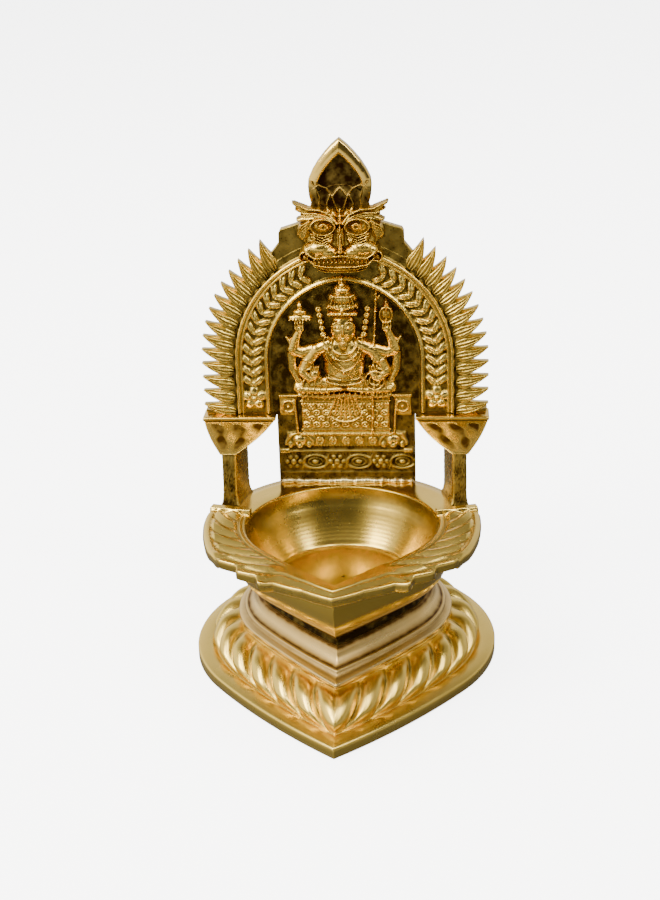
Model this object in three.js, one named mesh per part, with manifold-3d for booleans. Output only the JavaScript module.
// Low brass oil lamp with a figured back plate, built up from castings on a bench.
// Millimetres, +Z up. The origin is the middle of the foot's box, on the table. The spout points
// to -Y and the back plate stands at +Y; left and right are the lamp's as seen from the spout.
import * as THREE from 'three';
import { ConvexGeometry } from 'three/addons/geometries/ConvexGeometry.js';
import { mergeVertices } from 'three/addons/utils/BufferGeometryUtils.js';
import Module from 'manifold-3d';

const wasm = await Module();
wasm.setup();

// ---- driving dimensions -------------------------------------------------------------------
const seam = 0.3; // clearance left between two pieces that touch
const ringSteps = 72; // points round a leaf outline, a multiple of four so that one is the tip

// Foot: a betel-leaf outline, a circle whose two side arcs meet in a point at the front.
const footLength = 128.6;
const footRadius = 53.4;
const footSideRadius = 240;
const flangeThickness = 4.4;
const flangeEdge = 0.6; // bevel round the top of the flange
const flangeBorder = 7.2; // flat top of the flange, outside the gadroons
const gadroonBand = 9.3; // how far the gadroon band leans in
const plinthHeight = 14.7;
const plinthWall = 3;

// Waist: a thin ledge and a hollow cove, as insets from the foot's outline. The ledge's sides
// are straighter, so that its tip stands further out.
const ledgeInset = 15.4;
const ledgeTipInset = 17.6;
const ledgeSideRadius = 400;
const ledgeThickness = 2;
const stepInset = 18.3;
const stepRise = 3.9; // from the waist's foot to the top of the step, where the cove starts
const coveInset = 22.6;
const waistHeight = 8.9;
const waistWall = 2.5;
const waistBoreRadius = 14;

// Bowl: a bellied cup round the turned well. Its rim is a second leaf round the well's centre.
const bowlHeight = 26;
const wellCentreY = 4.7;
const wellRadius = 33;
const wellFloorRadius = 24;
const wellDepth = 19.8;
const spoutReach = 47; // well centre to the tip of the wick groove
const rimRadius = 46.8;
const rimReach = 54.8; // well centre to the tip of the lip
const rimSideRadius = 600;
const rimThickness = 2.2;
const bellyRadius = 36.4; // under the rim
const bellyReach = 50.5;
const neckInset = 23.4; // from the foot's outline
const neckHeight = 3.8;

// Collar: the raised leaf border round the front of the rim.
const collarHeight = 1.9;
const collarEndY = 10.5; // how far behind the well's centre the collar starts
const collarLipWall = 0.6; // the collar's inner edge stands back from the groove by this

// Back plate and the pillars, corbels and reliefs that go with it.
const plateFaceY = 42.05;
const plateThickness = 4.6;
const panelHalfWidth = 25;
const pillarHeight = 18.7;
const pillarFrontWidth = 4.9;
const pillarRearWidth = 2.6;
const pillarFrontInset = 38.6; // centre line to the front inner edge of a pillar
const pillarRearInset = 35.2;
const pillarFrontY = 21.9;
const pillarDepth = 12.4;
const corbelHeight = 8;
const corbelOverhang = 4.2; // how far a corbel's top stands in front of the plate's face
const corbelReach = 51.3; // centre line to a corbel's outer end
const wingHeight = 19.8; // straight stretch of the plate above the corbels
const flameRadius = 54; // arc that the flame tips lie on
const flameArcOffset = 2.6; // its centre lies this far past the centre line
const flameArcDegrees = 57;
const flameCount = 14;
const flameNotch = 5;
const shoulderHalfWidth = 21.8;
const shoulderDrop = 3.7; // slanted ends of the shoulders
const shoulderSlant = 7.8;
const plateHeight = 97.2; // foot of the panel to the top of the shoulders
const mouldingHeight = 1.4;
const outerMouldingInset = 12.2; // from the flame tips
const innerMouldingInset = 22.6;
const mouldingWidth = 2.2;
const rosetteRadius = 5.6;
const rosetteHeightAboveCorbel = 5.4;

const budHeight = 28.7;
const budHalfWidth = 10.9;
const budNeckHalfWidth = 9.3;
const budNeckHeight = 3.7;
const budWidestHeight = 12.3;
const budProud = 0.8; // in front of the plate's face, behind the mask
const budThickness = plateThickness + budProud;

const browHalfWidth = 16; // tip to tip over the flame-shaped brows is twice this
const cheekHalfWidth = 14.5;
const jawHalfWidth = 10.5;
const maskHeight = 23.5;
const maskProjection = 6.2;
const maskBevel = 2.6;
const browAbovePlate = 5.2; // the brows' tips above the top of the plate

const figureChinGap = 0.9; // between the crown and the mask
const figureHalfWidth = 19;
const throneHeight = 17;
const throneHalfWidth = 16;
const figureProjection = 4.5;
const figureFootAbovePanelFoot = 18;
const chinAbovePanelFoot = plateHeight + browAbovePlate - maskHeight;
const figureHeight = chinAbovePanelFoot - figureChinGap - figureFootAbovePanelFoot;
const trunkHalfWidth = 8.5;
const faceHalfWidth = 4.8;
const faceHalfHeight = 6.2;

const brazeLeg = 1.8;

// Fixing: one stud holds the plinth, the waist and the bowl together from below.
const studRadius = 3;
const studRunning = 0.4; // radial clearance round the stud
const studDepthInBowl = 4;
const washerRadius = 9;
const washerThickness = 1.6;
const nutAcrossFlats = 10;
const nutHeight = 5;
const studTail = 2.5; // stud left showing under the nut

// ---- levels that follow from them ---------------------------------------------------------
const waistFoot = plinthHeight + seam;
const waistTop = waistFoot + waistHeight;
const bowlFoot = waistTop + seam;
const rimTop = bowlFoot + bowlHeight;
const standFoot = rimTop + seam; // everything that stands on the rim starts here
const pillarTop = standFoot + pillarHeight;
const corbelFoot = pillarTop + seam;
const corbelTop = corbelFoot + corbelHeight;
const wingFoot = corbelTop + seam;
const archSpring = wingFoot + wingHeight;
const plateTop = standFoot + plateHeight;
const plateBackY = plateFaceY + plateThickness;
const flameEdgeX = flameRadius - flameArcOffset;
const maskBackY = Math.min(plateFaceY - mouldingHeight, plateBackY - budThickness) - seam;

// ---- materials ----------------------------------------------------------------------------
function brass(color, roughness) {
  return new THREE.MeshStandardMaterial({ color, roughness, metalness: 1 });
}
const polished = brass(0xc8a24a, 0.22);
const satin = brass(0xcfae72, 0.38);
const turned = brass(0xd09a32, 0.16);
const sandCast = brass(0xb48c32, 0.45);
const brazeMetal = brass(0xd8bd62, 0.5);
const fastener = brass(0xa98a45, 0.35);

// ---- leaf outlines ------------------------------------------------------------------------
// A leaf is a circle with two side arcs tangent to it that meet in a point towards -Y.
function makeLeaf(centreY, radius, reach, sideRadius) {
  const up = (2 * sideRadius * radius - radius ** 2 - reach ** 2) / (2 * reach);
  const across = Math.sqrt((sideRadius - radius) ** 2 - up ** 2);
  return { centreY, radius, sideRadius, up, across, tangent: Math.atan2(-up, across) };
}

// Distance from the leaf's centre to its edge, moved in by inset, in the direction angle.
function leafReach(leaf, inset, angle) {
  const folded = Math.asin(Math.sin(angle));
  if (folded >= leaf.tangent) return leaf.radius - inset;
  const c = Math.abs(Math.cos(angle));
  const s = Math.sin(angle);
  const along = -c * leaf.across + s * leaf.up;
  const side = leaf.sideRadius - inset;
  return along + Math.sqrt(along ** 2 - leaf.across ** 2 - leaf.up ** 2 + side ** 2);
}

function ringAngle(k) {
  return -Math.PI / 2 + (k / ringSteps) * 2 * Math.PI;
}

function leafRing(leaf, inset, z) {
  const ring = [];
  for (let k = 0; k < ringSteps; k++) {
    const angle = ringAngle(k);
    const r = leafReach(leaf, inset, angle);
    ring.push(new THREE.Vector3(r * Math.cos(angle), leaf.centreY + r * Math.sin(angle), z));
  }
  return ring;
}

function circleRing(radius, z, centreY = wellCentreY) {
  const ring = [];
  for (let k = 0; k < ringSteps; k++) {
    const angle = ringAngle(k);
    const x = radius * Math.cos(angle);
    ring.push(new THREE.Vector3(x, centreY + radius * Math.sin(angle), z));
  }
  return ring;
}

function blendRings(a, b, share, z) {
  return a.map((p, k) => new THREE.Vector3().lerpVectors(p, b[k], share).setZ(z));
}

// ---- solids from rings --------------------------------------------------------------------
// Rings run anticlockwise seen from above. The skin passes from each ring to the next.
function skinBetween(count, size, closed) {
  const triangles = [];
  const last = closed ? count : count - 1;
  for (let i = 0; i < last; i++) {
    const a = i * size;
    const b = ((i + 1) % count) * size;
    for (let k = 0; k < size; k++) {
      const n = (k + 1) % size;
      triangles.push(a + k, a + n, b + n, a + k, b + n, b + k);
    }
  }
  return triangles;
}

function geometryFrom(points, triangles) {
  const geometry = new THREE.BufferGeometry().setFromPoints(points);
  geometry.setIndex(triangles);
  geometry.computeVertexNormals();
  return geometry;
}

// A hollow turned-up section: the last ring joins the first.
function closedLoft(rings) {
  return geometryFrom(rings.flat(), skinBetween(rings.length, rings[0].length, true));
}

// A solid whose first and last rings are filled flat round their middles.
function cappedLoft(rings) {
  const size = rings[0].length;
  const points = rings.flat();
  const triangles = skinBetween(rings.length, size, false);
  const caps = [rings[0], rings[rings.length - 1]];
  const starts = [0, (rings.length - 1) * size];
  caps.forEach((ring, end) => {
    const middle = ring.reduce((sum, p) => sum.add(p), new THREE.Vector3()).divideScalar(size);
    const hub = points.push(middle) - 1;
    for (let k = 0; k < size; k++) {
      const here = starts[end] + k;
      const next = starts[end] + ((k + 1) % size);
      triangles.push(hub, end ? here : next, end ? next : here);
    }
  });
  return geometryFrom(points, triangles);
}

// ---- booleans -----------------------------------------------------------------------------
function toSolid(geometry) {
  const bare = geometry.clone();
  bare.deleteAttribute('normal');
  bare.deleteAttribute('uv');
  const merged = mergeVertices(bare, 1e-4);
  const vertProperties = new Float32Array(merged.attributes.position.array);
  const triVerts = new Uint32Array(merged.index.array);
  return new wasm.Manifold(new wasm.Mesh({ numProp: 3, vertProperties, triVerts }));
}

function toGeometry(solid) {
  const mesh = solid.getMesh();
  const geometry = new THREE.BufferGeometry();
  geometry.setAttribute('position', new THREE.BufferAttribute(mesh.vertProperties, 3));
  geometry.setIndex(new THREE.BufferAttribute(mesh.triVerts, 1));
  geometry.computeVertexNormals();
  return geometry;
}

function join(geometries) {
  return toGeometry(geometries.map(toSolid).reduce((whole, part) => whole.add(part)));
}

// A flat outline in X and Z, given thickness towards the spout from the plane y = backY.
function uprightSlab(shape, thickness, backY, curveSegments = 8) {
  const flat = { depth: thickness, bevelEnabled: false, curveSegments };
  const geometry = new THREE.ExtrudeGeometry(shape, flat);
  return geometry.rotateX(Math.PI / 2).translate(0, backY, 0);
}

function shapeOf(points) {
  return new THREE.Shape(points.map(([x, y]) => new THREE.Vector2(x, y)));
}

// ---- foot and waist -----------------------------------------------------------------------
const footCentreY = footLength / 2 - footRadius;
const footLeaf = makeLeaf(footCentreY, footRadius, footLength - footRadius, footSideRadius);

// The gadroon band's smooth body: a quarter ellipse from the flange up to the plinth's top.
function gadroonProfile(share) {
  const turn = (share * Math.PI) / 2;
  const inset = flangeBorder + gadroonBand * (1 - Math.cos(turn));
  return [inset, flangeThickness + (plinthHeight - flangeThickness) * Math.sin(turn)];
}

function plinthGeometry() {
  const outside = [
    [0, 0],
    [0, flangeThickness - flangeEdge],
    [flangeEdge, flangeThickness],
  ];
  const inside = [];
  for (let i = 0; i <= 6; i++) {
    const [inset, z] = gadroonProfile(i / 6);
    outside.push([inset, z]);
    inside.unshift([inset + plinthWall, Math.min(z, plinthHeight - plinthWall)]);
  }
  inside.push([flangeBorder + plinthWall, 0]);
  const ring = ([inset, z]) => leafRing(footLeaf, inset, z);
  const bore = studRadius + studRunning;
  const boreRings = [circleRing(bore, plinthHeight), circleRing(bore, plinthHeight - plinthWall)];
  return closedLoft([...outside.map(ring), ...boreRings, ...inside.map(ring)]);
}

const ledgeRadius = footRadius - ledgeInset;
const ledgeReach = footLength - footRadius - ledgeTipInset;
const ledgeLeaf = makeLeaf(footCentreY, ledgeRadius, ledgeReach, ledgeSideRadius);

function waistGeometry() {
  const step = waistFoot + stepRise;
  const rings = [
    leafRing(ledgeLeaf, 0, waistFoot),
    leafRing(ledgeLeaf, 0, waistFoot + ledgeThickness),
    leafRing(footLeaf, stepInset, (waistFoot + ledgeThickness + step) / 2),
    leafRing(footLeaf, stepInset, step),
  ];
  const coveSteps = 5;
  for (let i = 1; i <= coveSteps; i++) {
    const turn = (i / coveSteps) * (Math.PI / 2);
    const inset = stepInset + (coveInset - stepInset) * Math.sin(turn);
    rings.push(leafRing(footLeaf, inset, step + (waistTop - step) * (1 - Math.cos(turn))));
  }
  const bore = studRadius + studRunning;
  return closedLoft([
    ...rings,
    circleRing(bore, waistTop),
    circleRing(bore, waistTop - waistWall),
    circleRing(waistBoreRadius, waistTop - waistWall),
    circleRing(waistBoreRadius, waistFoot),
  ]);
}

// ---- bowl and collar ----------------------------------------------------------------------
const rimLeaf = makeLeaf(wellCentreY, rimRadius, rimReach, rimSideRadius);
const bellyLeaf = makeLeaf(wellCentreY, bellyRadius, bellyReach, rimSideRadius);
const grooveLeaf = makeLeaf(wellCentreY, wellRadius, spoutReach, rimSideRadius);

function bowlGeometry() {
  const neck = leafRing(footLeaf, neckInset, bowlFoot);
  const belly = leafRing(bellyLeaf, 0, rimTop);
  const bore = studRadius + studRunning;
  const rings = [
    circleRing(bore, bowlFoot + studDepthInBowl),
    circleRing(bore, bowlFoot),
    neck,
  ];
  const rimUnderside = rimTop - rimThickness;
  const bellyRise = rimUnderside - bowlFoot - neckHeight;
  const bellySteps = 6;
  for (let i = 0; i <= bellySteps; i++) {
    const share = i / bellySteps;
    const bulge = Math.sin((share * Math.PI) / 2);
    rings.push(blendRings(neck, belly, bulge, bowlFoot + neckHeight + bellyRise * share));
  }
  rings.push(leafRing(rimLeaf, 0, rimUnderside));
  rings.push(leafRing(rimLeaf, 0, rimTop));
  // The groove for the wick runs down and back into the turned well.
  const groove = leafRing(grooveLeaf, 0, rimTop);
  rings.push(groove);
  const wellSteps = 6;
  for (let i = 1; i <= wellSteps; i++) {
    const share = i / wellSteps;
    const radius = wellRadius - (wellRadius - wellFloorRadius) * share ** 1.3;
    const z = rimTop - wellDepth * share;
    const grooveShare = Math.max(0, 1 - 3 * share);
    rings.push(blendRings(circleRing(radius, z), groove, grooveShare, z));
  }
  return cappedLoft(rings);
}

// The collar runs round the front from one ear to the other, so its outline is cut at the ears.
function collarGeometry() {
  const start = Math.asin(collarEndY / rimRadius);
  const sweep = Math.PI + 2 * start;
  const steps = 48;
  const outer = [];
  const inner = [];
  for (let i = 0; i <= steps; i++) {
    const angle = start - (i / steps) * sweep;
    const outerReach = leafReach(rimLeaf, 0, angle);
    outer.push([outerReach * Math.cos(angle), outerReach * Math.sin(angle)]);
    const innerStart = Math.asin(collarEndY / (wellRadius + collarLipWall));
    const innerAngle = innerStart - (i / steps) * (Math.PI + 2 * innerStart);
    const innerReach = leafReach(grooveLeaf, -collarLipWall, innerAngle);
    inner.unshift([innerReach * Math.cos(innerAngle), innerReach * Math.sin(innerAngle)]);
  }
  const flat = { depth: collarHeight, bevelEnabled: false };
  const geometry = new THREE.ExtrudeGeometry(shapeOf([...outer, ...inner]), flat);
  return geometry.translate(0, wellCentreY, standFoot);
}

// ---- pillars and corbels ------------------------------------------------------------------
// The plan of a pillar: a wedge, wide at the front, that follows the rim back. side is -1 or 1.
function pillarPlan(side) {
  const rearY = pillarFrontY + pillarDepth;
  return [
    [side * pillarFrontInset, pillarFrontY],
    [side * (pillarFrontInset + pillarFrontWidth), pillarFrontY],
    [side * (pillarRearInset + pillarRearWidth), rearY],
    [side * pillarRearInset, rearY],
  ];
}

function pillarGeometry(side) {
  const levels = [standFoot, pillarTop];
  const corners = pillarPlan(side);
  const points = levels.flatMap((z) => corners.map(([x, y]) => new THREE.Vector3(x, y, z)));
  return new ConvexGeometry(points);
}

// A corbel spreads from the pillar's head up and back to the plate's wing.
function corbelGeometry(side) {
  const inner = panelHalfWidth + seam;
  const head = pillarPlan(side).map(([x, y]) => new THREE.Vector3(x, y, corbelFoot));
  const soffit = [plateFaceY, plateBackY].map((y) => new THREE.Vector3(side * inner, y, corbelFoot));
  const top = [];
  for (const x of [inner, corbelReach]) {
    for (const y of [plateFaceY - corbelOverhang, plateBackY]) {
      top.push(new THREE.Vector3(side * x, y, corbelTop));
      top.push(new THREE.Vector3(side * x, y, corbelTop - 1));
    }
  }
  return new ConvexGeometry([...head, ...soffit, ...top]);
}

// ---- back plate ---------------------------------------------------------------------------
// A point on the line of the flame tips, moved in by inset. distance runs up from the corbel.
function flameLine(distance, inset) {
  if (distance <= wingHeight) return [flameEdgeX - inset, wingFoot + distance];
  const turn = (distance - wingHeight) / flameRadius;
  const radius = flameRadius - inset;
  return [radius * Math.cos(turn) - flameArcOffset, archSpring + radius * Math.sin(turn)];
}

const flameRun = wingHeight + flameRadius * THREE.MathUtils.degToRad(flameArcDegrees);
const flamePitch = flameRun / flameCount;

function platePoints() {
  const right = [
    [panelHalfWidth, standFoot],
    [panelHalfWidth, wingFoot],
    [flameEdgeX - 1, wingFoot],
  ];
  for (let i = 0; i < flameCount; i++) {
    right.push(flameLine(flamePitch * (i + 0.6), 0));
    right.push(flameLine(flamePitch * (i + 1), flameNotch));
  }
  right.push([shoulderHalfWidth, plateTop - shoulderDrop]);
  right.push([shoulderHalfWidth - shoulderSlant, plateTop]);
  const left = right.map(([x, z]) => [-x, z]).reverse();
  return [...right, ...left];
}

// A rib that follows the arch, standing proud of the plate and ending short of the mask.
function archRib(inset, endDistance) {
  const outer = [];
  const inner = [];
  const steps = 14;
  for (let i = 0; i <= steps; i++) {
    const distance = (i / steps) * endDistance;
    outer.push(flameLine(distance, inset));
    inner.unshift(flameLine(distance, inset + mouldingWidth));
  }
  const rightRib = [...outer, ...inner];
  const leftRib = rightRib.map(([x, z]) => [-x, z]).reverse();
  const depth = mouldingHeight + plateThickness / 2;
  const backY = plateFaceY + plateThickness / 2;
  return [rightRib, leftRib].map((points) => uprightSlab(shapeOf(points), depth, backY));
}

function rosette(side) {
  const depth = mouldingHeight + plateThickness / 2;
  const disc = new THREE.CylinderGeometry(rosetteRadius * 0.8, rosetteRadius, depth, 20);
  disc.rotateX(Math.PI);
  const x = side * (flameEdgeX - (outerMouldingInset + innerMouldingInset + mouldingWidth) / 2);
  const y = plateFaceY + plateThickness / 2 - depth / 2;
  return disc.translate(x, y, wingFoot + rosetteHeightAboveCorbel);
}

function backPlateGeometry() {
  const slab = uprightSlab(shapeOf(platePoints()), plateThickness, plateBackY);
  const outerRib = archRib(outerMouldingInset, flameRun * 0.95);
  const innerRib = archRib(innerMouldingInset, flameRun * 1.08);
  return join([slab, ...outerRib, ...innerRib, rosette(-1), rosette(1)]);
}

// ---- bud, mask and figure -----------------------------------------------------------------
function budGeometry() {
  const foot = plateTop + seam;
  const neckTop = foot + budNeckHeight;
  const widest = foot + budWidestHeight;
  const tip = foot + budHeight;
  const shape = new THREE.Shape();
  shape.moveTo(-budNeckHalfWidth, foot);
  shape.lineTo(budNeckHalfWidth, foot);
  shape.lineTo(budNeckHalfWidth, neckTop);
  shape.quadraticCurveTo(budHalfWidth, widest - 4, budHalfWidth, widest);
  shape.quadraticCurveTo(budHalfWidth - 0.5, widest + 5.5, 0, tip);
  shape.quadraticCurveTo(-budHalfWidth + 0.5, widest + 5.5, -budHalfWidth, widest);
  shape.quadraticCurveTo(-budHalfWidth, widest - 4, -budNeckHalfWidth, neckTop);
  return uprightSlab(shape, budThickness, plateBackY);
}

// The mask: flame-shaped brows over cheeks and a jaw, with rounded edges, on the plate's face.
function maskGeometry() {
  const browZ = plateTop + browAbovePlate;
  const chinZ = browZ - maskHeight;
  const rightSide = [
    [jawHalfWidth, chinZ],
    [cheekHalfWidth, chinZ + 0.4 * maskHeight],
    [cheekHalfWidth, chinZ + 0.75 * maskHeight],
    [browHalfWidth, browZ],
    [budNeckHalfWidth, browZ - 3],
  ];
  const leftSide = rightSide.map(([x, z]) => [-x, z]).reverse();
  const shape = shapeOf([...rightSide, ...leftSide]);
  const rounded = {
    depth: maskProjection - maskBevel,
    bevelThickness: maskBevel,
    bevelSize: maskBevel,
    bevelOffset: -maskBevel,
    bevelSegments: 4,
  };
  const block = new THREE.ExtrudeGeometry(shape, rounded).rotateX(Math.PI / 2);
  block.translate(0, maskBackY, 0);
  // Only the front bevel shows: the back is cut flat against the plate and the bud.
  const room = new THREE.BoxGeometry(4 * browHalfWidth, 4 * maskProjection, 4 * maskHeight);
  room.translate(0, maskBackY - 2 * maskProjection, browZ);
  return toGeometry(toSolid(block).intersect(toSolid(room)));
}

function ellipsoid(rx, ry, rz, x, z) {
  const ball = new THREE.SphereGeometry(1, 20, 12).scale(rx, ry, rz);
  return ball.translate(x, plateFaceY, z);
}

// The figure: a throne, crossed legs, a trunk, four arms and a crowned head, in half relief.
function figureGeometry() {
  const foot = standFoot + figureFootAbovePanelFoot;
  const seat = foot + throneHeight;
  const headZ = foot + 0.665 * figureHeight;
  const depth = figureProjection;
  const throne = new THREE.BoxGeometry(2 * throneHalfWidth, 2 * depth - 2, throneHeight);
  throne.translate(0, plateFaceY, foot + throneHeight / 2);
  const crownTop = foot + figureHeight;
  const crownHeight = crownTop - headZ - 4;
  const crown = new THREE.CylinderGeometry(0.8, 5, crownHeight, 16).rotateX(Math.PI / 2);
  crown.translate(0, plateFaceY, crownTop - crownHeight / 2);
  const pieces = [
    throne,
    crown,
    ellipsoid(throneHalfWidth, depth, 3.5, 0, seat + 1.5),
    ellipsoid(trunkHalfWidth, depth, 11, 0, seat + 10),
    ellipsoid(faceHalfWidth, depth, faceHalfHeight, 0, headZ),
  ];
  for (const side of [-1, 1]) {
    pieces.push(ellipsoid(6, depth - 1, 9, side * 0.62 * figureHalfWidth, seat + 10));
    pieces.push(ellipsoid(4.5, depth - 1.5, 8, side * 0.78 * figureHalfWidth, seat + 22));
  }
  const whole = pieces.map(toSolid).reduce((sum, part) => sum.add(part));
  const room = new THREE.BoxGeometry(4 * figureHalfWidth, 4 * depth, 3 * figureHeight);
  room.translate(0, plateFaceY - seam - 2 * depth, foot + figureHeight / 2);
  return toGeometry(whole.intersect(toSolid(room)));
}

// ---- braze and fixing ---------------------------------------------------------------------
function brazeGeometry() {
  const shape = shapeOf([[0, 0], [brazeLeg, 0], [0, brazeLeg]]);
  const length = 2 * panelHalfWidth - 2;
  const bead = new THREE.ExtrudeGeometry(shape, { depth: length, bevelEnabled: false });
  // The shape's X runs towards the spout and its Y up; the bead's length lies along X.
  bead.rotateX(Math.PI / 2).rotateZ(-Math.PI / 2);
  return bead.translate(length / 2, plateFaceY - seam, standFoot);
}

const washerTop = plinthHeight - plinthWall - seam;
const washerFoot = washerTop - washerThickness;
const nutTop = washerFoot - seam;
const nutFoot = nutTop - nutHeight;

// A flat disc with any number of sides and a round bore for the stud.
function boredDisc(cornerRadius, sides, foot, top) {
  const corners = [];
  for (let i = 0; i < sides; i++) {
    const angle = (i / sides) * 2 * Math.PI;
    corners.push([cornerRadius * Math.cos(angle), cornerRadius * Math.sin(angle)]);
  }
  const shape = shapeOf(corners);
  const hole = new THREE.Path();
  hole.absarc(0, 0, studRadius + studRunning, 0, 2 * Math.PI, true);
  shape.holes.push(hole);
  const flat = { depth: top - foot, bevelEnabled: false, curveSegments: 24 };
  return new THREE.ExtrudeGeometry(shape, flat).translate(0, wellCentreY, foot);
}

function studGeometry() {
  const foot = nutFoot - studTail;
  const top = bowlFoot + studDepthInBowl - seam;
  const stud = new THREE.CylinderGeometry(studRadius, studRadius, top - foot, 24);
  return stud.rotateX(Math.PI / 2).translate(0, wellCentreY, (top + foot) / 2);
}

// ---- assembly -----------------------------------------------------------------------------
const lamp = new THREE.Group();

function place(name, geometry, material) {
  const mesh = new THREE.Mesh(geometry, material);
  mesh.name = name;
  lamp.add(mesh);
}

place('foot_plinth', plinthGeometry(), polished);
place('stepped_waist', waistGeometry(), satin);
place('oil_bowl', bowlGeometry(), turned);
place('spout_collar', collarGeometry(), sandCast);
place('left_pillar', pillarGeometry(-1), sandCast);
place('right_pillar', pillarGeometry(1), sandCast);
place('left_corbel', corbelGeometry(-1), polished);
place('right_corbel', corbelGeometry(1), polished);
place('back_plate', backPlateGeometry(), sandCast);
place('seated_figure', figureGeometry(), polished);
place('guardian_mask', maskGeometry(), polished);
place('bud_finial', budGeometry(), polished);
place('panel_braze', brazeGeometry(), brazeMetal);
place('centre_stud', studGeometry(), fastener);
place('stud_washer', boredDisc(washerRadius, 32, washerFoot, washerTop), fastener);
const nutCorner = nutAcrossFlats / 2 / Math.cos(Math.PI / 6);
place('stud_nut', boredDisc(nutCorner, 6, nutFoot, nutTop), fastener);

export default lamp;
